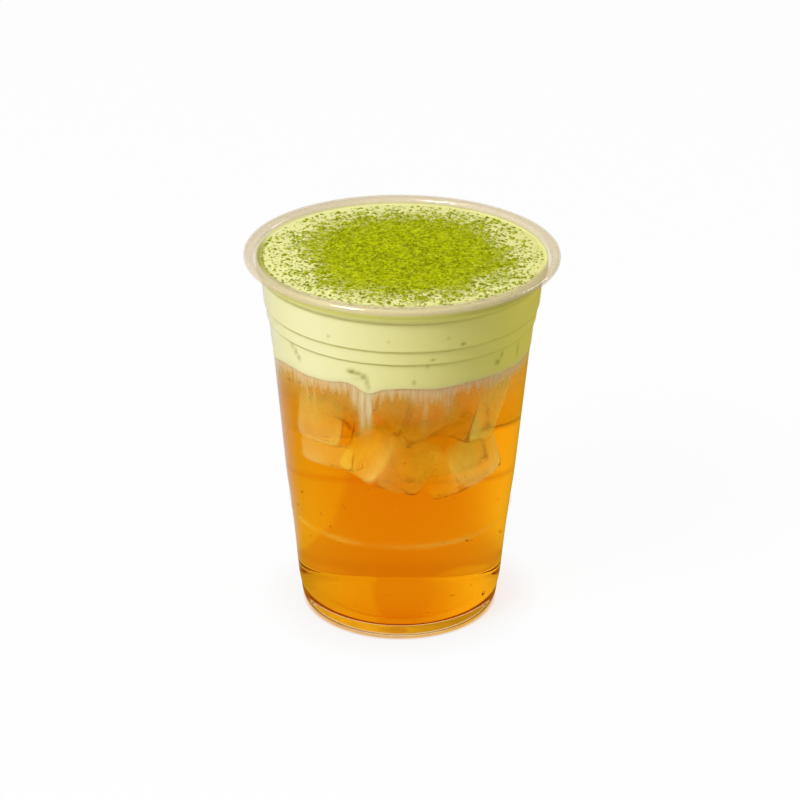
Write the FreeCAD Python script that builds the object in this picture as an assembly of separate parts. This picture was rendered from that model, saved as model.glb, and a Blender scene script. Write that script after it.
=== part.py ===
import FreeCAD, Part
import math
import os

# Cheese foam tea in a clear cold-drink cup.  Millimetres, +Z up.
# The origin is the centre of the ring that the cup stands on.
# The cup is one thin sheet, drawn as a chain of corners from the middle of its floor,
# out over the foot, up the wall and round the rolled lip.  Every skin of the sheet and
# the two drinks inside it are worked out from that one chain.

# --- overall sizes of the cup ---
RIM_RADIUS = 49.0          # outside of the lip
CUP_HEIGHT = 120.7         # table to the top of the lip
DRAFT_DEG = 4.94           # lean of every straight stretch of wall
WALL = 0.45                # thickness of the sheet

# --- rolled lip and the collar under it ---
LIP_WIDTH = 4.2
LIP_HEIGHT = 2.3
LIP_EDGE_RADIUS = 1.0      # outside of the roll's bends
CURL_GAP = 0.9             # free space between the curl's end and the collar
COLLAR_DEPTH = 5.5         # top of the lip to the ledge under the collar
LEDGE_WIDTH = 1.4          # how far the ledge steps in from the collar to the wall
LEDGE_HEIGHT = 1.0

# --- steps in the wall: where each one's sloping face tops out, and its width outwards ---
FOOT_STEP_HEIGHT = 8.0     # above the table
FOOT_STEP_WIDTH = 0.45
LOWER_STEP_HEIGHT = 35.6   # above the table
LOWER_STEP_WIDTH = 0.65
RIB_DEPTHS = (20.7, 16.1)  # below the top of the lip, the lower rib first
RIB_WIDTH = 0.55
STEP_SLOPE_DEG = 48.0      # slope of a step, from the vertical
STEP_BEND = 0.35           # inside of a step's bends

# --- foot and pushed-up floor ---
FOOT_EDGE_RADIUS = 3.0     # outside of the bend from foot to wall
FOOT_WIDTH = 5.3           # from the wall's line in to the foot's inner corner
PUSH_UP = 3.2              # height of the floor above the table
PUSH_UP_LEAN = 0.8         # how far the foot's inner wall leans in
FLOOR_SHELF = 8.7          # floor between the foot's inner wall and the raised panel
PANEL_RISE = 0.6
FLOOR_BEND = 0.4           # inside of the floor's bends

# --- what the cup holds ---
FILL_GAP = 0.05            # between the wall and what it holds
FOAM_DEPTH = 29.7          # top of the lip to the level where the foam floats on the tea
FOAM_DROP = 1.3            # top of the lip to the foam's edge
FOAM_CROWN = 0.5           # rise of the foam's middle above its edge

FULL_TURN = 360.0
DRAFT = math.tan(math.radians(DRAFT_DEG))
STEP_RUN = math.tan(math.radians(STEP_SLOPE_DEG))
STEPS = [(FOOT_STEP_HEIGHT, FOOT_STEP_WIDTH), (LOWER_STEP_HEIGHT, LOWER_STEP_WIDTH)]
STEPS += [(CUP_HEIGHT - depth, RIB_WIDTH) for depth in RIB_DEPTHS]
LIP_BEND = min(LIP_EDGE_RADIUS, 0.45 * LIP_HEIGHT) - WALL    # inside of the roll's bends
LEDGE_TOP = CUP_HEIGHT - COLLAR_DEPTH
LEDGE_BOTTOM = LEDGE_TOP - LEDGE_HEIGHT
COLLAR_RADIUS = RIM_RADIUS - LIP_WIDTH + WALL                # outside of the collar
BASE_RADIUS = COLLAR_RADIUS - LEDGE_WIDTH - DRAFT * LEDGE_BOTTOM - sum(width for _, width in STEPS)
FOAM_BOTTOM = CUP_HEIGHT - FOAM_DEPTH


def wall_radius(height):
    """Outer radius of the wall: the base, plus the draft, plus each step below the height."""
    passed = sum(width for level, width in STEPS if level <= height)
    return BASE_RADIUS + DRAFT * height + passed


def floor_corners():
    """Corners (radius, height, bend) under the floor and the foot, from the axis outwards."""
    foot_inner = BASE_RADIUS - FOOT_WIDTH
    floor_edge = foot_inner - PUSH_UP_LEAN
    panel = floor_edge - FLOOR_SHELF
    return [
        (0.0, PUSH_UP + PANEL_RISE, 0.0),
        (panel - PANEL_RISE, PUSH_UP + PANEL_RISE, FLOOR_BEND),
        (panel, PUSH_UP, FLOOR_BEND),
        (floor_edge, PUSH_UP, FLOOR_BEND),
        (foot_inner, 0.0, FLOOR_BEND),
        (BASE_RADIUS, 0.0, FOOT_EDGE_RADIUS - WALL),
    ]


def wall_corners():
    """Corners of the wall: two for each step, then two for the ledge under the collar."""
    corners = []
    for level, width in STEPS:
        rise = width / STEP_RUN
        top = wall_radius(level)
        corners.append((top - width - DRAFT * rise, level - rise, STEP_BEND))
        corners.append((top, level, STEP_BEND))
    corners.append((wall_radius(LEDGE_BOTTOM), LEDGE_BOTTOM, STEP_BEND))
    corners.append((COLLAR_RADIUS, LEDGE_TOP, STEP_BEND))
    return corners


def curl_corners():
    """Corners inside the roll: up the collar, out, down and back in towards the collar."""
    inner_top = CUP_HEIGHT - WALL
    inner_bottom = CUP_HEIGHT - LIP_HEIGHT + WALL
    nose = RIM_RADIUS - WALL
    return [
        (COLLAR_RADIUS, inner_top, LIP_BEND),
        (nose, inner_top, LIP_BEND),
        (nose, inner_bottom, LIP_BEND),
        (COLLAR_RADIUS + CURL_GAP, inner_bottom, 0.0),
    ]


def unit(start, end):
    """Unit direction from one corner to the next, as (radial, upward)."""
    run, rise = end[0] - start[0], end[1] - start[1]
    length = math.hypot(run, rise)
    return run / length, rise / length


def skin_edges(corners, depth):
    """Edges of the skin that lies the given depth inside the outer one.

    Each corner moves along its mitre.  A bend keeps its centre, so on the side that the
    sheet turns towards its radius shrinks with the depth, and on the other side it grows.
    """
    ways = [unit(a, b) for a, b in zip(corners, corners[1:])]
    before = [ways[0]] + ways
    after = ways + [ways[-1]]
    points, bends = [], []
    for (radius, height, bend), one, two in zip(corners, before, after):
        mitre = depth / (1.0 + one[0] * two[0] + one[1] * two[1])
        points.append((radius - mitre * (one[1] + two[1]), height + mitre * (one[0] + two[0])))
        turns_in = one[0] * two[1] - one[1] * two[0] > 0
        bends.append(bend + WALL - depth if turns_in else bend + depth)
    edges = []
    last = points[0]
    for index in range(1, len(points) - 1):
        one, two = unit(points[index - 1], points[index]), unit(points[index], points[index + 1])
        half_turn = 0.5 * math.acos(max(-1.0, min(1.0, one[0] * two[0] + one[1] * two[1])))
        reach = bends[index] * math.tan(half_turn)
        corner = points[index]
        start = (corner[0] - reach * one[0], corner[1] - reach * one[1])
        end = (corner[0] + reach * two[0], corner[1] + reach * two[1])
        inset = bends[index] * (1.0 / math.cos(half_turn) - 1.0)
        inward = unit((one[0], one[1]), (two[0], two[1]))
        middle = (corner[0] + inset * inward[0], corner[1] + inset * inward[1])
        edges.append(Part.LineSegment(spot(last), spot(start)).toShape())
        edges.append(Part.Arc(spot(start), spot(middle), spot(end)).toShape())
        last = end
    edges.append(Part.LineSegment(spot(last), spot(points[-1])).toShape())
    return edges


def spot(point):
    """A point of the half-section, in the XZ plane."""
    return FreeCAD.Vector(point[0], 0.0, point[1])


def straight(start, end):
    """A straight edge between two points of the half-section."""
    return Part.LineSegment(spot(start), spot(end)).toShape()


def turned(edges):
    """The solid that a closed half-section makes when it is turned about +Z."""
    outline = Part.Wire(Part.sortEdges(edges)[0])
    return Part.Face(outline).revolve(FreeCAD.Vector(), FreeCAD.Vector(0, 0, 1), FULL_TURN)


def cup():
    """The whole cup: the sheet between its outer skin and its inner skin."""
    corners = floor_corners() + wall_corners() + curl_corners()
    outer = skin_edges(corners, 0.0)
    inner = skin_edges(corners, WALL)
    curl_end = Part.makeLine(outer[-1].lastVertex().Point, inner[-1].lastVertex().Point)
    middle = Part.makeLine(outer[0].firstVertex().Point, inner[0].firstVertex().Point)
    return turned(outer + [curl_end] + inner + [middle])


def cavity():
    """The room inside the cup, a hair clear of the wall, up to the top of the lip."""
    corners = floor_corners() + wall_corners() + [(COLLAR_RADIUS, CUP_HEIGHT, 0.0)]
    skin = skin_edges(corners, WALL + FILL_GAP)
    start, end = skin[0].firstVertex().Point, skin[-1].lastVertex().Point
    top, axis = (0.0, end.z), (0.0, start.z)
    return turned(skin + [straight((end.x, end.z), top), straight(top, axis)])


def space_under(level, crown):
    """All that lies under a shallow dome: its edge, on the lip's radius, is at the level."""
    edge, middle = (RIM_RADIUS, level), (0.0, level + crown)
    dome = straight(edge, middle)
    if crown:
        half = RIM_RADIUS / 2.0
        ball = (RIM_RADIUS ** 2 + crown ** 2) / (2.0 * crown)
        sag = ball - math.sqrt(ball ** 2 - half ** 2)
        between = (half, level + crown - sag)
        dome = Part.Arc(spot(edge), spot(between), spot(middle)).toShape()
    foot, axis = (RIM_RADIUS, 0.0), (0.0, 0.0)
    return turned([straight(axis, foot), straight(foot, edge), dome, straight(middle, axis)])


def tea(room):
    """The iced tea, from the cup's floor up to the foam."""
    return room.common(space_under(FOAM_BOTTOM, 0.0))


def foam(room):
    """The cheese foam, from the tea up to just under the lip."""
    under_foam_top = space_under(CUP_HEIGHT - FOAM_DROP, FOAM_CROWN)
    return room.common(under_foam_top).cut(space_under(FOAM_BOTTOM, 0.0))


def main():
    os.makedirs("parts", exist_ok=True)
    room = cavity()
    for node, shape in (("cup", cup()), ("tea", tea(room)), ("foam", foam(room))):
        solid = shape.Solids[0]
        if len(shape.Solids) != 1 or not solid.isValid():
            raise ValueError(node + " is not one valid solid")
        box = solid.BoundBox
        print(node, "volume", round(solid.Volume / 1000.0, 2), "cm3",
              "z", round(box.ZMin, 2), round(box.ZMax, 2), "radius", round(box.XMax, 2))
        solid.exportStep("parts/" + node + ".step")


main()
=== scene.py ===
"""Looks for a cheese foam tea: iced tea under whipped foam dusted with matcha, in a clear cold-drink cup.

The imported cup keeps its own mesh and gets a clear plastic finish. The tea, its ice and bubbles, the foam,
its milky wisps and the matcha are worked out here inside it. Everything is in metres, +Z up, with the
cup's axis at x = y = 0 and the front at -Y. Turns about the axis are measured from +X towards +Y, so the
front is at -90 degrees.
"""

import math

import bpy
import numpy as np
from bpy.props import FloatProperty, FloatVectorProperty, IntProperty, PointerProperty
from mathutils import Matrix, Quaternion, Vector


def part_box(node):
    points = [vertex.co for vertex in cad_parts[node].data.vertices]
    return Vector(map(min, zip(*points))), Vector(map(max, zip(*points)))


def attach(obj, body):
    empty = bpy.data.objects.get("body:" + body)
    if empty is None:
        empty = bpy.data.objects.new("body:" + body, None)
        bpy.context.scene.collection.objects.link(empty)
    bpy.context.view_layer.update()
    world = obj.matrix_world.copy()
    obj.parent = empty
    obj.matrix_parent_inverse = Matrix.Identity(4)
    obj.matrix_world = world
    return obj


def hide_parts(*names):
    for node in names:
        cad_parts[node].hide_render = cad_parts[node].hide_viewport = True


bl_info = {
    "name": "Cheese foam tea",
    "version": (1, 0, 0),
    "blender": (4, 5, 0),
    "location": "3D View > Sidebar > Foam tea",
    "description": "Builds the looks of an iced tea with a cheese foam cap in a clear cup",
    "category": "Object",
}

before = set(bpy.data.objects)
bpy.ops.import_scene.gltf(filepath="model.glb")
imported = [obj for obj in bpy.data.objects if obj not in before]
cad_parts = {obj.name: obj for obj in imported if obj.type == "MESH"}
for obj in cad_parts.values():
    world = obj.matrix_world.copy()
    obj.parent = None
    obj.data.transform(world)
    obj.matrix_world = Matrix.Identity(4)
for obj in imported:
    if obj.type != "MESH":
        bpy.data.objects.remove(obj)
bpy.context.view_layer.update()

MM = 0.001
BODY = "root"
LIP_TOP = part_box("cup")[1].z
CUP_FOOT = 31.0 * MM                      # radius of the ring that it stands on
FOAM_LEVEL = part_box("foam")[0].z          # where the foam floats on the tea
FOAM_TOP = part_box("foam")[1].z
FOAM_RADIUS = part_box("foam")[1].x
TEA_PIVOT = (28.0 * MM, 10.0 * MM)        # the tea's half-section is seen all round from here
FOAM_PIVOT = (20.0 * MM, 105.0 * MM)      # and the foam's from here
FILL_GAP = 0.05 * MM                      # between the cup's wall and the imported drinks
FOAM_EDGE = 1.45 * MM                     # from the lip's top down to where the foam leaves the wall
TEA_EVEN = 80.0 * MM                      # up to here the tea's rings are level
FOAM_EVEN = 97.0 * MM                     # and from here up the foam's are
WATER_IOR = 1.333
WHITE = (1.0, 1.0, 1.0)


# --- sizes and colours that a user would change ---


def colour(name, description, value):
    """A colour property, in linear light."""
    return FloatVectorProperty(
        name=name, description=description, subtype="COLOR", size=3, min=0.0, max=1.0, default=value
    )


def amount(name, description, value, **limits):
    """A number property, with its unit or its range."""
    return FloatProperty(name=name, description=description, default=value, **limits)


def length(name, description, value):
    """A length property, in metres."""
    return amount(name, description, value, unit="LENGTH", min=0.0)


class FOAMTEA_PG_cup(bpy.types.PropertyGroup):
    """The clear cup."""

    lip_tint: colour("Lip tint", "Warm tint of one layer of the rolled lip", (0.96, 0.92, 0.85))
    lip_cloud: colour("Lip cloud", "Cloudy part of the lip", (0.81, 0.75, 0.59))
    lip_depth: length("Lip depth", "How far below its top the lip keeps its tint", 2.4 * MM)
    lip_share: amount("Lip share", "How cloudy one layer of the lip is", 0.2, min=0.0, max=1.0)
    # Painted highlight: golden colour mixed into the sheet along the step
    painted_step_light: colour("Step light", "Light that gathers in the step of the wall", (1.0, 0.75, 0.08))
    step_height: length("Step height", "Height of the step in the wall that catches light", 35.3 * MM)


class FOAMTEA_PG_tea(bpy.types.PropertyGroup):
    """The tea and what is sunk in it."""

    reach: length("Reach into wall", "How far the tea reaches into the cup's wall", 0.15 * MM)
    kept: colour("Colour kept", "Light that is left after the depth below", (0.835, 0.228, 0.0006))
    depth: length("Depth", "Depth of tea that leaves the colour above", 80.0 * MM)
    bubbles: IntProperty(name="Bubbles", description="Small bubbles on the wall", default=80, min=0, max=200)


class FOAMTEA_PG_ice(bpy.types.PropertyGroup):
    """The ice in the tea."""

    frost: colour("Frost", "Cloud under the faces of the ice", (0.88, 0.95, 0.52))
    # Painted shade: dark colour on the lower edges, standing in for light that they send elsewhere
    painted_edge_shade: colour("Dusk", "Lower edges of the ice, which send the light elsewhere", (0.42, 0.13, 0.004))


class FOAMTEA_PG_foam(bpy.types.PropertyGroup):
    """The cheese foam and the matcha on it."""

    reach: length("Reach into wall", "How far the foam reaches into the cup's wall", 0.25 * MM)
    cream: colour("Cream", "Bare foam at the left of the side", (0.775, 0.755, 0.42))
    # Painted shade: darker, more saturated cream on the right of the side, away from the key lamp
    cream_shaded_right: colour("Cream at the right", "Bare foam at the right of the side", (0.75, 0.685, 0.13))
    cream_top: colour("Cream on top", "Bare foam on top", (0.87, 0.86, 0.36))
    shade: colour("Shade", "Foam in the bends of the wall", (0.50, 0.48, 0.085))
    # Damp matcha, and along the wall at the left also painted shade under the inner lip
    stain_and_shade: colour("Stain", "Damp matcha on the foam at the wall", (0.27, 0.26, 0.03))
    milk: colour("Milk", "Foam that has run down into the tea", (0.63, 0.525, 0.27))
    milk_thin: colour("Thin milk", "Foam that has mixed with tea", (0.54, 0.46, 0.09))
    matcha: colour("Matcha", "Thick matcha powder", (0.545, 0.60, 0.002))
    # Painted shade: this dark tone stands for the shadows between clumps; loose grains also take it as their
    # own tone
    matcha_dark: colour("Matcha in shade", "Damp or shaded matcha", (0.20, 0.235, 0.002))
    matcha_light: colour("Thin matcha", "Matcha with foam just under it", (0.68, 0.71, 0.05))
    matcha_radius: length("Matcha radius", "Radius of the dusted patch", 32.0 * MM)
    grains: IntProperty(name="Grains", description="Loose grains of matcha", default=10500, min=0, max=20000)


class FOAMTEA_PG_stage(bpy.types.PropertyGroup):
    """Lamps, world, floor and camera."""

    ambient: amount("Ambient", "Strength of the light from all round", 0.31)
    key_power: amount("Key power", "Power of the lamp at the front left", 29.5, unit="POWER")
    rim_power: amount("Rim power", "Power of the lamp behind at the right", 8.0, unit="POWER")
    # Painted light: amber on the floor under the cup, for light that comes through the tea
    painted_tea_glow: colour("Tea glow", "Light through the tea on the floor under the cup", (0.75, 0.35, 0.014))
    lens: amount("Lens", "Focal length of the camera, in mm", 118.85)


# --- meshes ---


def faces_between(here, above):
    """Faces between rows of vertices and the rows above them. Each row closes on itself, and rows that
    run upwards and turn from +X to +Y face outwards."""
    return np.stack([here, np.roll(here, -1, 1), np.roll(above, -1, 1), above], -1).reshape(-1, 4)


def skin(points, inward=False):
    """Vertices and faces of one closed skin. points[i, j] is point j of ring i; the first and last rings
    are drawn in to one point each."""
    rings, around = points.shape[0] - 2, points.shape[1]
    here = 1 + np.arange(rings * around).reshape(rings, around)
    beside = np.roll(here, -1, 1)
    start = np.stack([np.zeros(around, int), beside[0], here[0]], -1)
    end = np.stack([np.full(around, here.size + 1), here[-1], beside[-1]], -1)
    faces = [faces_between(here[:-1], here[1:]), start, end]
    return skin_values(points), [f[:, ::-1] for f in faces] if inward else faces


def skin_values(values):
    """What skin()'s vertices carry, from what each point of its rings carries."""
    middle = values[1:-1].reshape(-1, *values.shape[2:])
    return np.concatenate([values[:1, 0], middle, values[-1:, 0]])


def band(points):
    """Vertices and faces of a closed band: its rings close on themselves, and the last joins the first."""
    rings, around = points.shape[:2]
    here = np.arange(rings * around).reshape(rings, around)
    return points.reshape(-1, 3), [faces_between(here, np.roll(here, -1, 0))]


def add_object(name, data):
    """A new object in the scene."""
    thing = bpy.data.objects.new(name, data)
    bpy.context.scene.collection.objects.link(thing)
    return thing


def add_mesh(name, corners, faces, material):
    """A new object with a mesh of its own."""
    mesh = bpy.data.meshes.new(name)
    mesh.from_pydata(corners, [], faces)
    mesh.materials.append(material)
    return add_object(name, mesh)


def make_piece(name, parts, material, replaces=None, smooth=True, values=None):
    """One object from the parts' vertices and faces, riding on the cup. values are named numbers, one
    for each vertex, for the material to read."""
    corners, faces, first = [], [], 0
    for part_corners, part_faces in parts:
        corners.append(part_corners)
        faces += [row for block in part_faces for row in (block + first).tolist()]
        first += len(part_corners)
    piece = add_mesh(name, np.concatenate(corners), faces, material)
    piece.data.polygons.foreach_set("use_smooth", np.full(len(faces), smooth))
    for key, numbers in (values or {}).items():
        carried = piece.data.attributes.new(key, "FLOAT", "POINT")
        carried.data.foreach_set("value", numbers.astype(np.float32))
    piece.data.update()
    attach(piece, BODY)
    if replaces:
        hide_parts(replaces)


def turns(count):
    """Evenly spread turns about the axis, in radians."""
    return np.arange(count) * (2.0 * math.pi / count)


def turned(radius, height):
    """Points of rings about the axis: radius[i, j] and height[i, j] are those of point j of ring i."""
    angle = turns(radius.shape[1])
    return np.stack([radius * np.cos(angle), radius * np.sin(angle), height], -1)


def waves(places, size, count, seed):
    """Smooth noise from -1 to 1: the mean of sines of about the given wavelength, each one running in
    its own direction through the places."""
    draw = np.random.default_rng(seed)
    ways = draw.normal(size=(count, places.shape[-1]))
    ways /= np.linalg.norm(ways, axis=1)[:, None]
    ways *= 2.0 * math.pi / (size * draw.uniform(0.7, 1.5, (count, 1)))
    starts = draw.uniform(0.0, 2.0 * math.pi, count)
    total = sum(np.sin(places @ way + start) for way, start in zip(ways, starts))
    return np.clip(total / math.sqrt(count) / 1.4, -1.0, 1.0)


def smoothstep(low, high, value):
    """0 under low, 1 over high, and a smooth S between them."""
    share = np.clip((value - low) / (high - low), 0.0, 1.0)
    return share * share * (3.0 - 2.0 * share)


def plateau(start, full, ease, end, value):
    """0 up to the start, 1 from full to ease, 0 from the end on, and smooth between them."""
    return smoothstep(start, full, value) * (1.0 - smoothstep(ease, end, value))


def turn_between(degrees, turn):
    """How far the first turn is past the second one, from -180 to 180 degrees."""
    return (degrees - turn + 180.0) % 360.0 - 180.0


# --- the inside of the cup ---


def all_round(outline, around):
    """Radius and height of the outline's points, at each turn of their rings."""
    return [np.repeat(column[:, None], around, 1) for column in outline.T]


def half_section(node, pivot):
    """Radius and height of a packed drink's outline, in order of the turn about a pivot inside it."""
    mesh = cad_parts[node].data
    places = np.empty(len(mesh.vertices) * 3, np.float32)
    mesh.vertices.foreach_get("co", places)
    places = places.reshape(-1, 3).astype(float)
    grain = 0.01 * MM
    pairs = np.stack([np.hypot(places[:, 0], places[:, 1]), places[:, 2]], -1)
    pairs = np.unique(np.round(pairs / grain), axis=0) * grain
    turn = np.arctan2(pairs[:, 1] - pivot[1], pairs[:, 0] - pivot[0])
    return pairs[np.argsort(turn)], np.sort(turn)


def push_out(outline, reach):
    """The outline moved outwards by the reach, along the mean of the normals on both sides."""
    step = np.diff(outline, axis=0)
    normal = np.stack([step[:, 1], -step[:, 0]], -1)
    normal /= np.linalg.norm(normal, axis=1)[:, None]
    at_point = np.concatenate([normal[:1], normal[:-1] + normal[1:], normal[-1:]])
    at_point /= np.linalg.norm(at_point, axis=1)[:, None]
    moved = outline + reach * at_point
    moved[:, 0] = np.maximum(moved[:, 0], 0.0)
    return moved


def spread(outline, longest=4.0 * MM, margin=0.3 * MM):
    """The outline with points added on its long stretches: one just inside each end, so that a bend's
    shading stays at the bend, and the rest evenly."""
    rows = [outline[:1]]
    for start, end in zip(outline[:-1], outline[1:]):
        size = np.linalg.norm(end - start)
        shares = np.array([1.0])
        if size > 3.0 * margin:
            inner = np.linspace(margin / size, 1.0 - margin / size, 2 + int(size / longest))
            shares = np.append(inner, 1.0)
        rows.append(start + shares[:, None] * (end - start))
    return np.concatenate(rows)


def eased(points, width, grain):
    """Evenly spread points, averaged under a bell curve of the given width."""
    half = int(3.0 * width / grain)
    bell = np.exp(-0.5 * (np.arange(-half, half + 1) * grain / width) ** 2)
    padded = np.concatenate([np.repeat(points[:1], half, 0), points, np.repeat(points[-1:], half, 0)])
    return np.stack([np.convolve(padded[:, axis], bell / bell.sum(), "valid") for axis in (0, 1)], -1)


FOOT_EASE, WALL_EASE = 1.4 * MM, 4.0 * MM      # how widely the tea's bends are eased
WALL_EASE_FROM, WALL_EASE_FULL = 17.0 * MM, 25.0 * MM


def softened(outline, grain=0.2 * MM, longest=3.5 * MM, sharpest=math.radians(4.0)):
    """The outline with its bends eased, as liquid shows them: a little at the foot, and so much above it
    that the step in the wall hardly bends the light. It is thinned to points that are as far apart as
    the longest stretch or the sharpest turn allows."""
    along = np.append(0.0, np.cumsum(np.linalg.norm(np.diff(outline, axis=0), axis=1)))
    even = np.arange(0.0, along[-1], grain)
    points = np.stack([np.interp(even, along, outline[:, axis]) for axis in (0, 1)], -1)
    above_foot = smoothstep(WALL_EASE_FROM, WALL_EASE_FULL, points[:, 1:])
    foot, above = [eased(points, width, grain) for width in (FOOT_EASE, WALL_EASE)]
    points = foot * (1.0 - above_foot) + above * above_foot
    way = np.diff(points, axis=0)
    heading = np.unwrap(np.arctan2(way[:, 1], way[:, 0]))
    turned_so_far = np.append(0.0, np.cumsum(np.abs(np.diff(heading))))
    measure = np.floor(even[:-1] / longest + turned_so_far / sharpest)
    kept = np.append(np.unique(measure, return_index=True)[1], len(points) - 1)
    return points[kept]


def wall_outline():
    """The wall inside the cup, from the foot's bend up to the foam's edge: radius for each height."""
    tea, tea_turn = half_section("tea", TEA_PIVOT)
    foam = half_section("foam", FOAM_PIVOT)[0]
    low = tea[(tea_turn > 0.0) & (tea[:, 1] < FOAM_LEVEL - 1.0 * MM)]
    high = foam[(foam[:, 0] > FOAM_RADIUS - 6.0 * MM) & (foam[:, 1] > FOAM_LEVEL + 1.0 * MM)]
    wall = np.concatenate([low, high])
    return wall[np.argsort(wall[:, 1])]


def radius_at(wall, height):
    """The outline's radius at a height."""
    return np.interp(height, wall[:, 1], wall[:, 0])


# Hills and dips of the foam's underside at the wall: turn in degrees, rise in mm, width in degrees.
FOAM_DIPS = (
    (-174.0, -4.2, 16.0),
    (-104.2, -1.7, 4.4),
    (-114.5, 1.1, 6.0),
    (-88.0, 0.7, 9.0),
    (-56.0, 0.7, 14.0),
    (-136.0, -0.4, 9.0),
    (35.0, -2.0, 13.0),
    (84.0, 1.2, 18.0),
    (140.0, -1.4, 12.0),
)


def foam_floor(angle):
    """Height of the foam's underside at the wall: its level, plus a bell at each turn in FOAM_DIPS."""
    degrees = np.degrees(angle)
    height = np.full(np.shape(angle), FOAM_LEVEL)
    for turn, rise, width in FOAM_DIPS:
        height = height + rise * MM * np.exp(-((turn_between(degrees, turn) / width) ** 2))
    return height


# --- ice and bubbles ---

# Each piece of ice: its centre in mm; how far its top pitches to the front, it turns, and it leans to the
# right, in degrees; its half sides in mm; how cloudy its left, right, front, back, bottom and top faces
# are, as named before it is turned.
ICE = (
    ((-2.4, -19.6, 61.6), (-12.0, 32.0, 30.0), (9.6, 9.4, 10.3), (0.34, 0.0, 0.24, 0.0, 0.0, 0.03)),
    ((16.4, -15.4, 58.2), (-10.0, 42.0, -18.0), (9.6, 9.6, 9.2), (0.26, 0.0, 0.42, 0.0, 0.0, 0.05)),
    ((20.6, -16.8, 78.6), (-12.0, 52.0, 24.0), (6.6, 6.4, 12.5), (0.10, 0.0, 0.42, 0.0, 0.0, 0.0)),
    ((-21.3, -18.2, 73.4), (-12.0, -24.0, 4.0), (8.4, 6.4, 8.6), (0.05, 0.0, 0.24, 0.0, 0.0, 0.0)),
    ((-19.7, -18.6, 61.6), (-14.0, -20.0, 2.0), (9.6, 6.6, 4.6), (0.05, 0.0, 0.22, 0.0, 0.0, 0.06)),
    ((5.8, -15.4, 77.0), (-18.0, 14.0, -28.0), (10.5, 7.4, 9.6), (0.18, 0.0, 0.30, 0.0, 0.0, 0.0)),
    ((-7.0, -7.0, 77.0), (-14.0, -8.0, 18.0), (11.0, 9.0, 9.0), (0.22, 0.0, 0.34, 0.0, 0.1, 0.1)),
    ((9.0, -6.0, 62.0), (-10.0, 12.0, -12.0), (12.0, 9.0, 10.5), (0.25, 0.0, 0.40, 0.0, 0.1, 0.1)),
    ((-17.0, 15.0, 70.0), (20.0, 20.0, 6.0), (10.5, 9.5, 10.5), (0.1, 0.2, 0.1, 0.25, 0.1, 0.1)),
    ((13.0, 20.0, 68.0), (-16.0, -24.0, -10.0), (10.5, 9.0, 11.0), (0.1, 0.2, 0.1, 0.25, 0.1, 0.1)),
)


def turned_by(angles):
    """Rotation matrix: a pitch about X, then a turn about Z, then a lean about Y, in degrees."""
    cos_x, cos_z, cos_y = np.cos(np.radians(angles))
    sin_x, sin_z, sin_y = np.sin(np.radians(angles))
    about_x = np.array([[1, 0, 0], [0, cos_x, -sin_x], [0, sin_x, cos_x]])
    about_y = np.array([[cos_y, 0, sin_y], [0, 1, 0], [-sin_y, 0, cos_y]])
    about_z = np.array([[cos_z, -sin_z, 0], [sin_z, cos_z, 0], [0, 0, 1]])
    return about_y @ about_z @ about_x


def ball(rings, around):
    """Unit directions on a ball's grid of rings, from its lowest point to its highest."""
    tilt = np.linspace(-0.5 * math.pi, 0.5 * math.pi, rings)[:, None] * np.ones(around)
    angle = turns(around)
    return np.stack([np.cos(tilt) * np.cos(angle), np.cos(tilt) * np.sin(angle), np.sin(tilt)], -1)


ICE_POWER = 7         # the higher, the squarer the ice
ICE_WOBBLE = 0.04     # how far melting has moved its faces, in half sides
# Edges with painted shade look down, to the right and to the front.
ICE_SHADE_SIDE = np.array([0.55, -0.35, -0.76])


def ice_points(index):
    """A melted cube: along each direction it reaches to where the seventh powers of the three coordinates
    add up to one, with a gentle wobble. Returns its points, how cloudy they are, by the share that each
    face has in the direction, and how near they are to an edge on the side that gets painted shade."""
    centre, angles, sides, cloudy = ICE[index]
    way = ball(60, 120)
    powers = np.abs(way) ** ICE_POWER
    total = np.sum(powers, -1)[..., None]
    cube = way * total ** (-1.0 / ICE_POWER)
    soft = smoothstep(0.34, 0.62, way**4 / np.sum(way**4, -1)[..., None])
    faces = np.stack([soft * (way < 0.0), soft * (way > 0.0)], -1).reshape(*way.shape[:2], 6)
    cloud = faces @ np.array(cloudy)
    edge = smoothstep(0.33, 0.5, 1.0 - np.max(powers / total, -1))
    cube *= 1.0 + ICE_WOBBLE * waves(cube, 1.2, 9, 40 + index)[..., None]
    points = (cube * np.array(sides) * MM) @ turned_by(angles).T
    outward = points / np.linalg.norm(points, axis=-1)[..., None]
    edge *= smoothstep(0.2, 0.65, outward @ ICE_SHADE_SIDE)
    return points + np.array(centre) * MM, cloud, edge


def bubble_points(settings, wall):
    """Small balls of air just inside the wall, all round and from the foot up to the ice."""
    draw = np.random.default_rng(11)
    bubbles = []
    for _ in range(settings.bubbles):
        angle = math.radians(draw.uniform(-180.0, 180.0))
        height = draw.uniform(10.0, 74.0) * MM
        size = draw.uniform(0.15, 0.45) * MM
        inset = size + draw.uniform(0.25, 0.8) * MM
        radius = radius_at(wall, height) - inset
        centre = np.array([radius * math.cos(angle), radius * math.sin(angle), height])
        bubbles.append(ball(7, 10) * size + centre)
    return bubbles


# --- materials ---


def math_node(operation, swapped=False):
    """A method of Value that adds one Math node."""

    def method(self, other):
        return self.paint.math(operation, *((other, self) if swapped else (self, other)))

    return method


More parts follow.
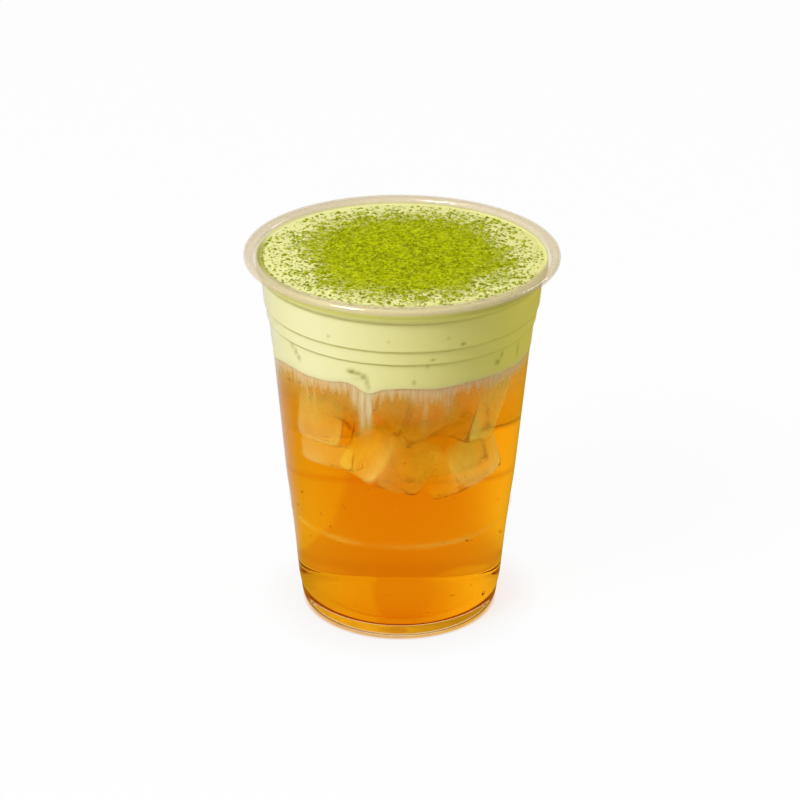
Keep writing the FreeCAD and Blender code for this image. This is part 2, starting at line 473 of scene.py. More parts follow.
class Value:
    """A number that varies over a surface. Its arithmetic adds Math nodes to the material."""

    def __init__(self, paint, socket):
        self.paint, self.socket = paint, socket

    __add__ = __radd__ = math_node("ADD")
    __sub__ = math_node("SUBTRACT")
    __rsub__ = math_node("SUBTRACT", swapped=True)
    __mul__ = __rmul__ = math_node("MULTIPLY")
    __truediv__ = math_node("DIVIDE")
    __pow__ = math_node("POWER")
    lowest = math_node("MINIMUM")
    highest = math_node("MAXIMUM")

    def clamped(self):
        return self.lowest(1.0).highest(0.0)

    def between(self, low, high):
        """0 under low, 1 over high and even between them."""
        return ((self - low) / (high - low)).clamped()

    def bell(self):
        """1 at 0, and exp(-v * v) on both sides of it."""
        return self.paint.math("EXPONENT", self * self * -1.0, 0.0)


class Paint:
    """A new material, or the world's light, while it is mixed."""

    def __init__(self, name, world=False):
        self.block = (bpy.data.worlds if world else bpy.data.materials).new(name)
        self.block.use_nodes = True
        self.tree = self.block.node_tree
        self.tree.nodes.clear()
        self.end = "ShaderNodeOutputWorld" if world else "ShaderNodeOutputMaterial"

    def add(self, kind, settings=None, inputs=None, output=0):
        """Any node: its settings are set first, then each input gets its value or its link. Returns one
        of its outputs."""
        node = self.tree.nodes.new(kind)
        for key, value in (settings or {}).items():
            setattr(node, key, value)
        for key, value in (inputs or {}).items():
            socket = node.inputs[key]
            if isinstance(value, Value):
                self.tree.links.new(value.socket, socket)
            else:
                socket.default_value = value
        return Value(self, node.outputs[output]) if node.outputs else node

    def math(self, operation, first, second):
        return self.add("ShaderNodeMath", {"operation": operation}, {0: first, 1: second})

    def places(self):
        """Object coordinates, in metres."""
        return self.add("ShaderNodeTexCoord", output="Object")

    def axes(self, of=None):
        """The three parts of a vector by themselves: of the object coordinates, if no other is given."""
        node = self.add("ShaderNodeSeparateXYZ", inputs={0: of or self.places()}).socket.node
        return [Value(self, node.outputs[axis]) for axis in "XYZ"]

    def ray(self, kind):
        """1 for rays of a kind, such as Camera or Shadow, and 0 for the rest."""
        return self.add("ShaderNodeLightPath", output="Is " + kind + " Ray")

    def number(self, name):
        """A number that the piece's vertices carry."""
        return self.add("ShaderNodeAttribute", {"attribute_name": name}, output="Fac")

    def noise(self, size, detail=2.0, stretch=(1.0, 1.0, 1.0), rough=0.5):
        """Noise from 0 to 1 with features of about the given size, drawn out along each axis by stretch."""
        scale = [1.0 / (size * s) for s in stretch]
        at = self.add("ShaderNodeMapping", {}, {"Vector": self.places(), "Scale": scale})
        settings = {"Vector": at, "Scale": 1.0, "Detail": detail, "Roughness": rough}
        return self.add("ShaderNodeTexNoise", {"noise_dimensions": "3D"}, settings, "Fac")

    def blend(self, share, first, second, way="MIX"):
        """One colour into another, by the share."""
        settings = {"data_type": "RGBA", "blend_type": way}
        return self.add("ShaderNodeMix", settings, {0: share, 6: opaque(first), 7: opaque(second)}, 2)

    def bump(self, height, depth, strength=1.0):
        """A normal that rises and falls with the height, by the depth in metres."""
        return self.add("ShaderNodeBump", {}, {"Height": height, "Distance": depth, "Strength": strength})

    def shader(self, tint, rough, **inputs):
        """A Principled shader. Underscores in names stand for spaces."""
        named = {key.replace("_", " "): value for key, value in inputs.items()}
        named.update({"Base Color": opaque(tint), "Roughness": rough})
        return self.add("ShaderNodeBsdfPrincipled", {}, named)

    def clear(self, tint=WHITE):
        """Lets everything behind it through, in the tint."""
        return self.add("ShaderNodeBsdfTransparent", {}, {"Color": opaque(tint)})

    def mix(self, share, first, second):
        return self.add("ShaderNodeMixShader", {}, {0: share, 1: first, 2: second})

    def lit_through(self, shader):
        """The shader, but lamps and the light that dull surfaces gather pass straight through it."""
        clear = self.clear()
        for kind in ("Diffuse", "Shadow"):
            shader = self.mix(self.ray(kind), shader, clear)
        return shader

    def finish(self, surface, **others):
        self.add(self.end, {}, {"Surface": surface, **others})
        return self.block


def opaque(tint):
    """A colour with full alpha, or a Value as it is."""
    return tint if isinstance(tint, Value) else (*tint, 1.0)


def plastic_finish(cup):
    """Clear plastic. The sheet is too thin to bend what shows through it, so it only shines, most where it
    is seen edge-on, and a pale golden band at a step in the wall is a painted highlight for the light that
    the step gathers. The rolled lip is seen through several layers, each a little warm and cloudy."""
    paint = Paint("clear_plastic_sheet")
    height = paint.axes()[2]
    edge_on = paint.add("ShaderNodeLayerWeight", {}, {"Blend": 0.5}, "Facing")
    gloss = paint.add("ShaderNodeBsdfAnisotropic", {}, {"Color": opaque(WHITE), "Roughness": 0.07})
    clear = paint.clear()
    above_tea = height.between(FOAM_LEVEL - 1.0 * MM, FOAM_LEVEL + 1.0 * MM)
    sheet = paint.mix(edge_on**3.0 * above_tea * 0.45, clear, gloss)
    # Painted highlight: a pale golden band at the step, of uneven strength, standing in for light that the
    # step gathers
    pale = paint.lit_through(paint.shader(cup.painted_step_light, 0.5, IOR=1.3))
    off = (height - cup.step_height) / (1.0 * MM)
    uneven = paint.noise(14.0 * MM, 1.0).between(0.35, 0.65)
    sheet = paint.mix(off.bell() * (uneven * 0.14 + 0.03), sheet, pale)
    warm = paint.clear(cup.lip_tint)
    cloudy = paint.shader(cup.lip_cloud, 0.5, IOR=1.3)
    layer = paint.lit_through(paint.mix(cup.lip_share, warm, cloudy))
    lip = paint.mix(edge_on**5.0 * 0.25 + 0.035, layer, gloss)
    rolled = height.between(LIP_TOP - cup.lip_depth, LIP_TOP - cup.lip_depth + 0.3 * MM)
    return paint.finish(paint.mix(rolled, sheet, lip))


def absorption(kept, depth):
    """Colour and density of the absorption that leaves the kept colour after the depth."""
    darkest, spare = 1e-4, 1.05
    taken = -np.log(np.maximum(kept, darkest)) / depth
    density = float(taken.max()) * spare
    return opaque([1.0 - t / density for t in taken]), density


def tea_finish(tea):
    """Clear amber tea, coloured by its depth."""
    paint = Paint("amber_tea")
    tint, density = absorption(tea.kept, tea.depth)
    no_shine = opaque((0.0, 0.0, 0.0))
    clear = paint.shader(WHITE, 0.0, IOR=WATER_IOR, Transmission_Weight=1.0, Specular_Tint=no_shine)
    depth = paint.add("ShaderNodeVolumeAbsorption", {}, {"Color": tint, "Density": density})
    return paint.finish(paint.lit_through(clear), Volume=depth)


def ice_finish(ice):
    """Melting ice. It bends light as the tea does, so it shows by the cloud under its faces and by painted
    shade on its lower edges, a dark colour for the light that they send elsewhere."""
    paint = Paint("melting_ice")
    clear = paint.clear()
    cloud = paint.shader(ice.frost, 0.5, IOR=1.1)
    painted_edge_shade = paint.shader(ice.painted_edge_shade, 0.5, IOR=1.1)
    patches = paint.noise(9.0 * MM, 3.0, stretch=(1.0, 1.0, 1.8)).between(0.3, 0.7)
    body = paint.mix(paint.number("cloud") * (patches * 0.8 + 0.6), clear, cloud)
    # Painted shade along the lower edges, broken up by noise
    line = paint.number("edge") * paint.noise(7.0 * MM, 1.0).between(0.38, 0.58) * 0.62
    return paint.finish(paint.lit_through(paint.mix(line, body, painted_edge_shade)))


# Bends of the wall where the foam lies in shade: drop below the lip's top and half width in mm; how dark.
BENDS = (
    (4.3, 1.2, 0.85),
    (6.75, 0.5, 0.55),
    (16.5, 0.42, 0.62),
    (21.0, 0.42, 0.62),
)


def foam_finish(foam):
    """Cream, darker and yellower towards the right as painted shade, olive painted shade in the wall's bends,
    stains that are partly painted shade, and milk at its hem. Matcha lies where the vertices' density beats a
    fine noise, in two tones, the darker one painted shade between clumps, and lighter where it is thin."""
    paint = Paint("cheese_foam_with_matcha")
    x, _, z = paint.axes()
    # Cream on the side and on top, then what colours it.
    # Painted shade: the side's cream turns darker and yellower towards the right
    side = paint.blend(x.between(-0.6 * FOAM_RADIUS, 0.75 * FOAM_RADIUS), foam.cream, foam.cream_shaded_right)
    soft = paint.noise(6.0 * MM, 3.0).between(0.3, 0.7)
    top = paint.blend(soft, [0.96 * c for c in foam.cream_top], [1.03 * c for c in foam.cream_top])
    cream = paint.blend(z.between(LIP_TOP - 3.2 * MM, LIP_TOP - 1.8 * MM), side, top)
    shade = 0.0
    for drop, half, dark in BENDS:
        off = (z - (LIP_TOP - drop * MM)) / (half * MM)
        shade = off.bell() * dark + shade
    cream = paint.blend(shade.clamped(), cream, foam.shade)
    cream = paint.blend(paint.number("hem") * 0.75, cream, foam.milk)
    cream = paint.blend(paint.number("stain_and_shade"), cream, foam.stain_and_shade)
    # Matcha: where it lies, then its tones.
    fine = paint.noise(0.72 * MM, 2.0, rough=0.6)
    clump = paint.noise(2.4 * MM, 3.0, rough=0.55)
    density = paint.number("powder")
    powder = (density * 0.72 + 0.12 - (fine * 0.82 + clump * 0.18)).between(-0.05, 0.07)
    # The dark tone is painted shade between the clumps
    tone = paint.noise(1.35 * MM, 1.5, rough=0.6).between(0.38, 0.58)
    matcha = paint.blend(tone, foam.matcha_dark, foam.matcha)
    mottle = paint.noise(3.5 * MM, 3.0).between(0.45, 0.75)
    thin = ((0.98 - density) * 1.6).clamped()
    matcha = paint.blend((mottle * 0.4 + thin).clamped() * 0.85, matcha, foam.matcha_light)
    base = paint.blend(powder, cream, matcha)
    relief = paint.bump((fine * 0.5 + clump) * powder, 0.7 * MM, 0.8)
    return paint.finish(paint.shader(base, 0.62, IOR=1.12, Normal=relief))


def powder_finish(foam):
    """Dry matcha, each grain in its own tone."""
    paint = Paint("matcha_powder")
    base = paint.blend(paint.number("tone"), foam.matcha_dark, foam.matcha)
    return paint.finish(paint.shader(base, 0.9, IOR=1.1))


def milk_finish(foam):
    """Milk in the tea: as dense as the vertices say."""
    paint = Paint("milky_wisps")
    fine = paint.noise(0.8 * MM, 2.0, stretch=(1.0, 1.0, 9.0)).between(0.3, 0.7)
    milk = paint.number("milk")
    alpha = (milk * (fine * 0.5 + 0.74)).clamped()
    base = paint.blend(milk.between(0.3, 0.7), foam.milk_thin, foam.milk)
    return paint.finish(paint.shader(base, 0.6, IOR=WATER_IOR, Alpha=alpha))


# --- the pieces ---


def finish_cup(settings):
    """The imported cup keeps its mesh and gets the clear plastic."""
    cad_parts["cup"].material_slots[0].material = plastic_finish(settings.cup)


def tea_body(settings):
    """Tea from the cup's floor to just inside the foam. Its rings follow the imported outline, pushed out
    into the wall and eased; the upper ones stretch to end at the foam's underside, and the last ones
    close the top. Bubbles are hollows in it."""
    around = 320
    reach = settings.tea.reach + FILL_GAP
    into_foam = 0.3 * MM
    outline, turn = half_section("tea", TEA_PIVOT)
    wall = wall_outline()
    without_top = (turn < math.radians(80.0)) & (outline[:, 1] < TEA_EVEN)
    low = softened(push_out(spread(outline[without_top]), reach))
    wall_out = push_out(spread(wall), reach)
    top = foam_floor(turns(around)) + into_foam
    share = np.linspace(0.04, 1.0, 12)[:, None]
    high_z = TEA_EVEN + share * (top - TEA_EVEN)
    high_r = radius_at(wall_out, high_z)
    inward = np.linspace(0.97, 0.0, 14)[:, None]
    middle = FOAM_LEVEL + into_foam
    cap_z = middle + (top - middle) * inward**3
    low_r, low_z = all_round(low, around)
    radius = np.concatenate([low_r, high_r, high_r[-1] * inward])
    height = np.concatenate([low_z, high_z, cap_z])
    parts = [skin(turned(radius, height))]
    parts += [skin(points, inward=True) for points in bubble_points(settings.tea, wall)]
    make_piece("iced_tea", parts, tea_finish(settings.tea), replaces="tea")


def ice_body(settings):
    """All the ice as one piece. Its vertices carry how cloudy and how dusky it is."""
    cubes, clouds, edges = zip(*[ice_points(i) for i in range(len(ICE))])
    values = {"cloud": np.concatenate([skin_values(cloud) for cloud in clouds])}
    values["edge"] = np.concatenate([skin_values(edge) for edge in edges])
    parts = [skin(points) for points in cubes]
    make_piece("ice_cubes", parts, ice_finish(settings.ice), values=values)


# Notches in the patch of matcha: x, y and radius in mm, and how much matcha is lacking there.
NOTCHES = (
    (32.5, 12.5, 7.5, 0.24),
    (-31.0, -9.0, 5.0, 0.36),
    (24.0, -20.0, 6.0, 0.16),
)


def matcha_density(x, y, radius):
    """How thickly matcha lies at a place, from 0 to 1. The patch is a rounded square, a bit longer from
    front to back. Its density falls evenly from the inside to beyond its edge, less a bell at each notch,
    with drifts of two sizes where it thins out, a trace everywhere, and a line along the wall at the
    left that is partly damp matcha and partly painted shade under the inner lip."""
    places = np.stack([x, y], -1)
    right, back = (x - 1.6 * MM) / radius, (y + 0.3 * MM) / (1.02 * radius)
    squareness = 2.3
    away = (np.abs(right) ** squareness + np.abs(back) ** squareness) ** (1.0 / squareness)
    thin = smoothstep(0.55, 0.95, away)
    drift = 0.10 * waves(places, 8.0 * MM, 14, 3) + 0.10 * waves(places, 3.2 * MM, 14, 5)
    dense = 0.54 + 1.05 * (1.0 - away) + drift * thin
    for notch_x, notch_y, size, lack in NOTCHES:
        dense = dense - lack * np.exp(-((x / MM - notch_x) ** 2 + (y / MM - notch_y) ** 2) / size**2)
    trace = 0.15 + 0.09 * waves(places, 5.0 * MM, 12, 8)
    turn = np.degrees(np.arctan2(y, x)) % 360.0
    # Partly damp matcha, partly painted shade under the inner lip at the left
    smear_and_shade = np.exp(-(((np.hypot(x, y) - FOAM_RADIUS + 1.3 * MM) / (0.8 * MM)) ** 2))
    smear_and_shade *= 0.62 * plateau(152.0, 172.0, 222.0, 240.0, turn)
    return np.clip(np.maximum(np.maximum(dense, trace), smear_and_shade), 0.0, 1.0)


def foam_height(x, y, settings):
    """Height of the foam's top: a shallow dome with slow swells, raised a little where powder lies."""
    places = np.stack([x, y], -1)
    away = np.hypot(x, y) / FOAM_RADIUS
    edge = 1.0 - smoothstep(0.86, 1.0, away)
    crown = FOAM_TOP - 0.75 * MM - 0.55 * MM * away**2
    swell = 0.22 * MM * waves(places, 17.0 * MM, 9, 7) * edge
    powder = matcha_density(x, y, settings.foam.matcha_radius)
    grit = powder * (0.16 * MM + 0.10 * MM * waves(places, 1.5 * MM, 16, 9)) * edge
    return crown + swell + grit


def foam_body(settings):
    """Foam: a nearly level underside, then rings up the wall that even out the underside's hills, then the
    wall's own outline, then rings over the top. Its vertices carry how thick the matcha is, how stained
    the foam is, and how near it is to its hem, where it turns to milk."""
    around = 480
    angle = turns(around)
    wall = push_out(spread(wall_outline(), 0.8 * MM), settings.foam.reach + FILL_GAP)
    bottom = foam_floor(angle)
    outward = np.append(np.linspace(0.0, 0.97, 8), 0.9985)[:, None]
    under_r = radius_at(wall, bottom) * outward
    under_z = FOAM_LEVEL + (bottom - FOAM_LEVEL) * outward**3
    share = np.concatenate([[0.0, 0.008, 0.03], np.linspace(0.07, 1.0, 14)])[:, None]
    side_z = bottom + share * (FOAM_EVEN - bottom)
    side_r = radius_at(wall, side_z)
    upper = wall[(wall[:, 1] > FOAM_EVEN + 0.5 * MM) & (wall[:, 1] < LIP_TOP - FOAM_EDGE)]
    upper_r, upper_z = all_round(upper, around)
    top_r = upper[-1, 0] * np.linspace(1.0, 0.0, 98)[1:, None] * np.ones(around)
    top_z = foam_height(top_r * np.cos(angle), top_r * np.sin(angle), settings)
    radius = np.concatenate([under_r, side_r, upper_r, top_r])
    height = np.concatenate([under_z, side_z, upper_z, top_z])
    corners, faces = skin(turned(radius, height))
    x, y, z = corners.T
    powder = matcha_density(x, y, settings.foam.matcha_radius) * (z > LIP_TOP - 4.0 * MM)
    hem = np.exp(-(z - foam_floor(np.arctan2(y, x))) / (0.7 * MM)) * (z > TEA_EVEN)
    values = {"powder": powder, "stain_and_shade": foam_marks(corners), "hem": np.clip(hem, 0.0, 1.0)}
    finish = foam_finish(settings.foam)
    make_piece("cheese_foam", [(corners, faces)], finish, replaces="foam", values=values)


# Marks on the foam at the wall: turn in degrees; height, half width and half height in mm; how dark.
MARKS = (
    (-111.2, 96.2, 1.6, 0.8, 0.95),
    (-108.6, 95.9, 1.6, 0.7, 0.74),
    (-106.0, 95.0, 1.2, 1.1, 0.74),
    (-104.6, 93.4, 0.8, 1.6, 0.54),
    (-103.9, 91.8, 0.6, 1.3, 0.47),
    (-109.0, 94.0, 2.0, 1.1, 0.19),
    (-143.5, 98.7, 0.9, 1.1, 0.47),
    (-141.2, 97.2, 0.9, 1.1, 0.61),
    (-139.4, 95.6, 0.9, 1.0, 0.54),
    (-84.5, 93.8, 0.5, 0.8, 0.68),
    (-77.0, 101.5, 0.8, 0.4, 0.68),
    (-79.0, 99.3, 0.4, 0.7, 0.61),
    (-64.5, 105.8, 0.8, 0.5, 0.94),
    (-44.5, 95.6, 1.1, 0.8, 0.81),
    (-42.2, 97.6, 0.6, 1.0, 0.74),
    (-30.0, 96.0, 0.8, 2.4, 0.41),
    (-120.5, 107.3, 0.5, 0.5, 0.54),
    (-71.0, 108.5, 0.5, 0.4, 0.54),
    (-156.0, 103.0, 0.6, 0.6, 0.34),
    (-95.0, 108.0, 0.4, 0.4, 0.41),
)


def foam_marks(points):
    """How stained the foam is, and where it has painted shade, from 0 to 1: soft marks at the wall, and a
    line where the top meets the wall at the left, partly damp matcha and partly painted shade under the inner
    lip."""
    x, y, z = points.T
    degrees = np.degrees(np.arctan2(y, x))
    stain_and_shade = np.zeros(len(points))
    for turn, height, half_width, half_height, dark in MARKS:
        across = np.radians(turn_between(degrees, turn)) * FOAM_RADIUS / MM / half_width
        up = (z / MM - height) / half_height
        stain_and_shade = np.maximum(stain_and_shade, dark * np.exp(-(across**2) - up**2))
    stain_and_shade *= np.hypot(x, y) > 0.8 * FOAM_RADIUS
    # The line at the left: partly damp matcha, partly painted shade under the inner lip
    inside = (np.hypot(x, y) - FOAM_RADIUS + 0.5 * MM) / (0.9 * MM)
    line = np.exp(-(inside**2)) * (z > LIP_TOP - 3.2 * MM)
    line *= plateau(158.0, 176.0, 222.0, 240.0, degrees % 360.0)
    return np.maximum(stain_and_shade, 0.75 * line)


# Milk that has run down the wall: turn and half width in degrees, length in mm, and how dense it is.
WISPS = (
    (-152.0, 4.0, 9.0, 0.5),
    (-143.0, 2.6, 13.0, 0.5),
    (-136.0, 1.6, 16.0, 0.55),
    (-131.5, 1.2, 19.0, 0.55),
    (-126.0, 3.5, 8.0, 0.5),
    (-116.0, 3.0, 9.0, 0.55),
    (-110.6, 3.0, 13.0, 0.8),
    (-107.2, 2.2, 21.0, 0.95),
    (-104.2, 2.0, 18.0, 0.95),
    (-101.6, 0.9, 10.0, 0.65),
    (-99.0, 0.8, 12.0, 0.6),
    (-96.4, 0.9, 8.5, 0.55),
    (-93.6, 0.8, 10.0, 0.5),
    (-90.6, 1.1, 7.5, 0.5),
    (-86.6, 1.0, 9.0, 0.5),
    (-83.6, 1.0, 12.0, 0.55),
    (-79.2, 2.2, 19.0, 0.6),
    (-75.6, 1.4, 11.0, 0.5),
    (-69.0, 4.2, 15.0, 0.6),
)


def milk_density(angle, drop, seed):
    """How dense the milk is, from 0 to 1, at a turn and a drop below the foam: a veil that thins with
    the drop, deeper in some places than in others, and wisps with soft sides and soft lower ends."""
    degrees = np.degrees(angle)
    ring = np.stack([np.cos(angle), np.sin(angle)], -1)
    comb = 0.5 + 0.5 * waves(ring, 0.05, 14, seed)
    slow = 0.5 + 0.5 * waves(ring, 0.5, 6, seed + 1)
    fall = (3.4 + 3.8 * comb + 3.5 * slow) * MM
    milk = 0.78 * (1.0 - smoothstep(0.0, 1.3, drop / fall))
    milk = np.maximum(milk, 0.30 * (1.0 - smoothstep(4.0 * MM, (13.0 + 5.0 * slow) * MM, drop)))
    milk = np.maximum(milk, np.exp(-drop / (0.8 * MM)))
    milk = milk * (1.0 - 0.65 * plateau(-62.0, -48.0, -5.0, 20.0, degrees))
    for turn, half_width, reach, dense in WISPS:
        side = np.exp(-((turn_between(degrees, turn) / half_width) ** 2))
        milk = np.maximum(milk, dense * side * (1.0 - smoothstep(0.25, 1.0, drop / MM / reach)))
    return milk


def milk_body(settings):
    """A thin skirt on the tea's side: a closed band of rings that are closer together near the foam. Its
    outside's vertices carry how dense the milk is."""
    around, rows = 1100, 26
    into_foam, longest, thick = 0.25 * MM, 22.0 * MM, 0.1 * MM
    angle = turns(around)
    wall = wall_outline()
    drop = np.linspace(0.0, 1.0, rows)[:, None] ** 1.4 * longest
    height = foam_floor(angle) + into_foam - drop
    radius = radius_at(wall, height) + FILL_GAP
    milk = milk_density(angle * np.ones((rows, 1)), drop * np.ones(around), 21)
    sheet = np.concatenate([turned(radius, height)[::-1], turned(radius - thick, height)])
    dense = np.concatenate([milk[::-1], 0.0 * milk]).reshape(-1)
    finish = milk_finish(settings.foam)
    make_piece("milky_wisps", [band(sheet)], finish, values={"milk": dense})


def powder_body(settings):
    """Loose grains: flattened eight-sided grains, tried at random places and kept by the density, each
    turned and stretched its own way and half sunk in the foam."""
    draw = np.random.default_rng(5)
    tries = settings.foam.grains * 6
    field = FOAM_RADIUS - 1.2 * MM
    spot = draw.uniform(-1.0, 1.0, (tries, 2)) * field
    inside = np.hypot(spot[:, 0], spot[:, 1]) < field
    dense = matcha_density(spot[:, 0], spot[:, 1], settings.foam.matcha_radius)
    keep = inside & (draw.uniform(size=tries) < dense * 0.55 + 0.015)
    spot, dense = spot[keep][: settings.foam.grains], dense[keep][: settings.foam.grains]
    count = len(spot)
    size = draw.gamma(4.0, 0.078 * MM, count).clip(0.1 * MM, 0.75 * MM)
    size *= np.where(dense > 0.9, 0.75, 1.0)
    around = draw.uniform(0.0, 2.0 * math.pi, count)
    stretch = draw.uniform(0.7, 1.5, (count, 2))
    flat = size * draw.uniform(0.35, 0.7, count)
    corner = np.array([[1, 0, 0], [0, 1, 0], [-1, 0, 0], [0, -1, 0], [0, 0, 1], [0, 0, -1]], float)
    body = corner * np.stack([size * stretch[:, 0], size * stretch[:, 1], flat], -1)[:, None, :]
    body *= draw.uniform(0.75, 1.2, (count, 6, 1))
    cos, sin = np.cos(around)[:, None], np.sin(around)[:, None]
    x = body[..., 0] * cos - body[..., 1] * sin + spot[:, :1]
    y = body[..., 0] * sin + body[..., 1] * cos + spot[:, 1:]
    ground = foam_height(spot[:, 0], spot[:, 1], settings)
    z = body[..., 2] + (ground + 0.25 * flat)[:, None]
    corners = np.stack([x, y, z], -1).reshape(-1, 3)
    faces = np.array([[0, 1, 4], [1, 2, 4], [2, 3, 4], [3, 0, 4], [1, 0, 5], [2, 1, 5], [3, 2, 5], [0, 3, 5]])
    faces = (faces + 6 * np.arange(count)[:, None, None]).reshape(-1, 3)
    tone = np.repeat(draw.beta(1.3, 1.6, count) * np.where(dense > 0.8, 1.0, 0.75), 6)
    finish = powder_finish(settings.foam)
    values = {"tone": tone}
    make_piece("matcha_grains", [(corners, [faces])], finish, smooth=False, values=values)


# --- stage ---


GLASS_MIDDLE = (0.98, 0.86, 0.9)    # tint of what shows straight through the middle
WARM_ROOM = (0.66, 0.47, 0.03)      # what gloss meets beside the panel
NEAR_FLOOR_SHADOW = (0.88, 0.77, 0.8)      # painted shadow: darker tint of the floor close behind the cup, seen only through glass


def backdrop(paint, plain, across, along, share, seen=WHITE):
    """The plain light, but white for rays from the camera, by the share, and for those by way of glass or
    gloss. Through glass it is brighter at the left than at the right and warmer in the middle, and gloss
    meets a pale panel at the back left and a warm room elsewhere. across and along are the two level
    parts of the direction that the light comes from."""
    camera, glossy, glass = [paint.ray(kind) for kind in ("Camera", "Glossy", "Transmission")]
    gloss = glossy * (1.0 - glass)
    panel = along.between(0.25, 0.78) * (0.1 - across).between(0.0, 0.4)
    middle = across.between(0.14, 0.11) * across.between(-0.32, -0.12)
    level = 0.90 + across.between(-0.1, -0.45) * 0.22 - across.between(0.3, 0.75) * 0.2
    strength = camera + glass * (level + across.between(0.11, 0.14) * 0.05) + gloss * 0.62
    seen = paint.blend(middle * glass, seen, GLASS_MIDDLE, "MULTIPLY")
    seen = paint.blend(gloss * (1.0 - panel), seen, WARM_ROOM)
    shown = paint.add("ShaderNodeEmission", {}, {"Color": seen, "Strength": strength})
    return paint.mix((camera * share + glossy + glass).clamped(), plain, shown)


def add_floor(settings):
    """A round white floor that keeps the drink's soft shadow. The place under the cup is painted amber,
    painted light for what comes through the tea, and through glass the floor close behind the cup has a
    painted shadow."""
    paint = Paint("pale_floor")
    plain = paint.shader((0.8, 0.8, 0.8), 0.9)
    x, y, _ = paint.axes()
    away = (x * x + y * y) ** 0.5
    across = x / away
    # Painted shadow: glass rays see the floor close behind the cup darker, most behind its middle
    middle = across.between(0.30, 0.12) * across.between(-0.36, -0.14)
    near = away.between(2.1 * CUP_FOOT, 1.3 * CUP_FOOT) * (middle * 0.7 + 0.3) * paint.ray("Transmission")
    seen = paint.blend(near, WHITE, NEAR_FLOOR_SHADOW)
    # Painted light: amber with streaks under the cup, for light that comes through the tea
    under = away.between(1.02 * CUP_FOOT, 0.97 * CUP_FOOT)
    streaks = paint.noise(4.0 * MM, 3.0).between(0.3, 0.7)
    glow = paint.blend(streaks, [0.86 * c for c in settings.painted_tea_glow], [1.1 * c for c in settings.painted_tea_glow])
    seen = paint.blend(under, seen, glow)
    share = away.between(CUP_FOOT, 1.5 * CUP_FOOT) * 0.22 + 0.74
    material = paint.finish(backdrop(paint, plain, across, y / away, share, seen))
    radius = np.array([[0.4], [0.9], [2.0]]) * np.ones(96)
    points = turned(radius, 0.0 * radius)
    here = 1 + np.arange(radius.size).reshape(radius.shape)
    quads = faces_between(here[1:], here[:-1])
    centre = np.stack([np.zeros_like(here[0]), here[0], np.roll(here[0], -1)], -1)
    corners = np.concatenate([np.zeros((1, 3)), points.reshape(-1, 3)])
    add_mesh("floor", corners, quads.tolist() + centre.tolist(), material)


def add_world(settings):
    """Soft light from all round, and plain white where the eye sees past the floor."""
    paint = Paint("studio", world=True)
    plain = paint.add("ShaderNodeBackground", {}, {"Color": opaque(WHITE), "Strength": settings.ambient})
    x, y, _ = paint.axes(paint.add("ShaderNodeTexCoord", output="Generated"))
    away = (x * x + y * y) ** 0.5
    bpy.context.scene.world = paint.finish(backdrop(paint, plain, x / away, y / away, 1.0))


KEY_PLACE = (-0.925, -0.882, 1.37)
RIM_PLACE = (1.5, 0.75, 0.5)
LAMP_TARGET = (0.0, 0.0, 0.08)
LAMP_SIDE = 0.6
CAMERA_PLACE = (0.0, -0.760, 0.42114)
CAMERA_DOWN, CAMERA_ROLL = 24.84, 0.48        # in degrees
CAMERA_SHIFT = -0.00116
LIGHT_BOUNCES, CLEAR_LAYERS = 28, 32          # so many that the light gets through cup, tea and ice


def add_lamp(name, place, power):
    """A square lamp that faces the cup. It doesn't show through the tea, where it would be a blotch."""
    lamp = bpy.data.lights.new(name, "AREA")
    lamp.size, lamp.energy = LAMP_SIDE, power
    lamp_object = add_object(name, lamp)
    way = np.array(LAMP_TARGET) - np.array(place)
    flat = math.hypot(*way[:2])
    lamp_object.visible_transmission = False
    lamp_object.location = place
    lamp_object.rotation_euler = (math.atan2(flat, -way[2]), 0.0, math.atan2(-way[0], way[1]))


def add_camera(settings):
    """The camera looks down on the cup from the front, rolled a little."""
    camera = bpy.data.cameras.new("camera")
    camera.lens, camera.sensor_width, camera.shift_x = settings.lens, 36.0, CAMERA_SHIFT
    camera_object = add_object("camera", camera)
    camera_object.location = CAMERA_PLACE
    tilt = Quaternion((1.0, 0.0, 0.0), math.radians(90.0 - CAMERA_DOWN))
    roll = Quaternion((0.0, 0.0, 1.0), math.radians(CAMERA_ROLL))
    camera_object.rotation_mode = "QUATERNION"
    camera_object.rotation_quaternion = tilt @ roll
    bpy.context.scene.camera = camera_object


def build_stage(settings):
    """Floor, world, lamps and camera."""
    scene = bpy.context.scene
    scene.view_settings.view_transform = "Standard"
    scene.cycles.max_bounces = scene.cycles.transmission_bounces = LIGHT_BOUNCES
    scene.cycles.transparent_max_bounces = CLEAR_LAYERS
    add_floor(settings.stage)
    add_world(settings.stage)
    add_lamp("key", KEY_PLACE, settings.stage.key_power)
    add_lamp("rim", RIM_PLACE, settings.stage.rim_power)
    add_camera(settings.stage)


# --- operators and panel ---


class FOAMTEA_PG_settings(bpy.types.PropertyGroup):
    """All the sizes and colours of the drink."""

    cup: PointerProperty(type=FOAMTEA_PG_cup)
    tea: PointerProperty(type=FOAMTEA_PG_tea)
    ice: PointerProperty(type=FOAMTEA_PG_ice)
    foam: PointerProperty(type=FOAMTEA_PG_foam)
    stage: PointerProperty(type=FOAMTEA_PG_stage)


class FOAMTEA_OT_cup(bpy.types.Operator):
    """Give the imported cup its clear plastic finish"""

    bl_idname = "foamtea.cup"
    bl_label = "Clear cup"

    def execute(self, context):
        finish_cup(context.scene.foam_tea)
        return {"FINISHED"}


class FOAMTEA_OT_tea(bpy.types.Operator):
    """Pour the amber tea, with hollows for its bubbles"""

    bl_idname = "foamtea.tea"
    bl_label = "Iced tea"

    def execute(self, context):
        tea_body(context.scene.foam_tea)
        return {"FINISHED"}


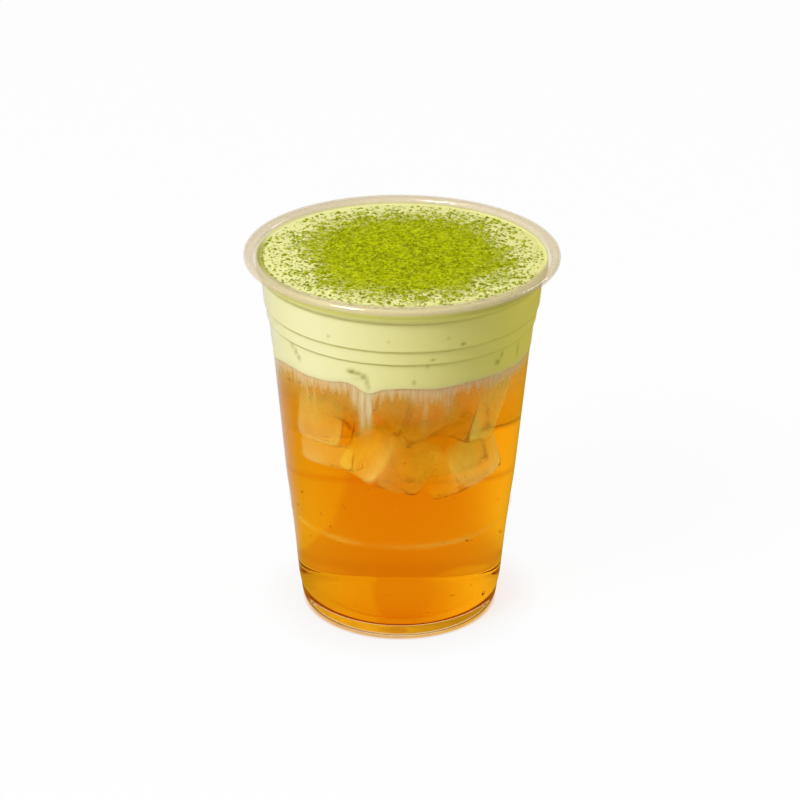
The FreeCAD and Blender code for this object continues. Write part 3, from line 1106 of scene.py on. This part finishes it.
class FOAMTEA_OT_ice(bpy.types.Operator):
    """Set the melting ice into the tea"""

    bl_idname = "foamtea.ice"
    bl_label = "Ice cubes"

    def execute(self, context):
        ice_body(context.scene.foam_tea)
        return {"FINISHED"}


class FOAMTEA_OT_foam(bpy.types.Operator):
    """Float the cheese foam on the tea"""

    bl_idname = "foamtea.foam"
    bl_label = "Cheese foam"

    def execute(self, context):
        foam_body(context.scene.foam_tea)
        return {"FINISHED"}


class FOAMTEA_OT_milk(bpy.types.Operator):
    """Let milk run down from the foam into the tea"""

    bl_idname = "foamtea.milk"
    bl_label = "Milky wisps"

    def execute(self, context):
        milk_body(context.scene.foam_tea)
        return {"FINISHED"}


class FOAMTEA_OT_powder(bpy.types.Operator):
    """Dust the foam with grains of matcha"""

    bl_idname = "foamtea.powder"
    bl_label = "Matcha grains"

    def execute(self, context):
        powder_body(context.scene.foam_tea)
        return {"FINISHED"}


class FOAMTEA_OT_stage(bpy.types.Operator):
    """Set out the floor, the light and the camera"""

    bl_idname = "foamtea.stage"
    bl_label = "Stage"

    def execute(self, context):
        build_stage(context.scene.foam_tea)
        return {"FINISHED"}


OPERATORS = (
    FOAMTEA_OT_cup,
    FOAMTEA_OT_tea,
    FOAMTEA_OT_ice,
    FOAMTEA_OT_foam,
    FOAMTEA_OT_milk,
    FOAMTEA_OT_powder,
    FOAMTEA_OT_stage,
)


class FOAMTEA_PT_pieces(bpy.types.Panel):
    """Lists the drink's pieces and the values that shape them."""

    bl_idname = "FOAMTEA_PT_pieces"
    bl_label = "Cheese foam tea"
    bl_space_type = "VIEW_3D"
    bl_region_type = "UI"
    bl_category = "Foam tea"

    def draw(self, context):
        settings = context.scene.foam_tea
        for operator in OPERATORS:
            self.layout.operator(operator.bl_idname)
        for name in ("cup", "tea", "ice", "foam", "stage"):
            box = self.layout.box()
            box.label(text=name.capitalize())
            group = getattr(settings, name)
            for key in group.__annotations__:
                box.prop(group, key)


CLASSES = (
    FOAMTEA_PG_cup,
    FOAMTEA_PG_tea,
    FOAMTEA_PG_ice,
    FOAMTEA_PG_foam,
    FOAMTEA_PG_stage,
    FOAMTEA_PG_settings,
    *OPERATORS,
    FOAMTEA_PT_pieces,
)


def register():
    for kind in CLASSES:
        bpy.utils.register_class(kind)
    bpy.types.Scene.foam_tea = PointerProperty(type=FOAMTEA_PG_settings)


def unregister():
    del bpy.types.Scene.foam_tea
    for kind in reversed(CLASSES):
        bpy.utils.unregister_class(kind)


def main():
    """Builds every piece in order."""
    register()
    for operator in OPERATORS:
        group, name = operator.bl_idname.split(".")
        getattr(getattr(bpy.ops, group), name)()


if __name__ == "__main__":
    main()
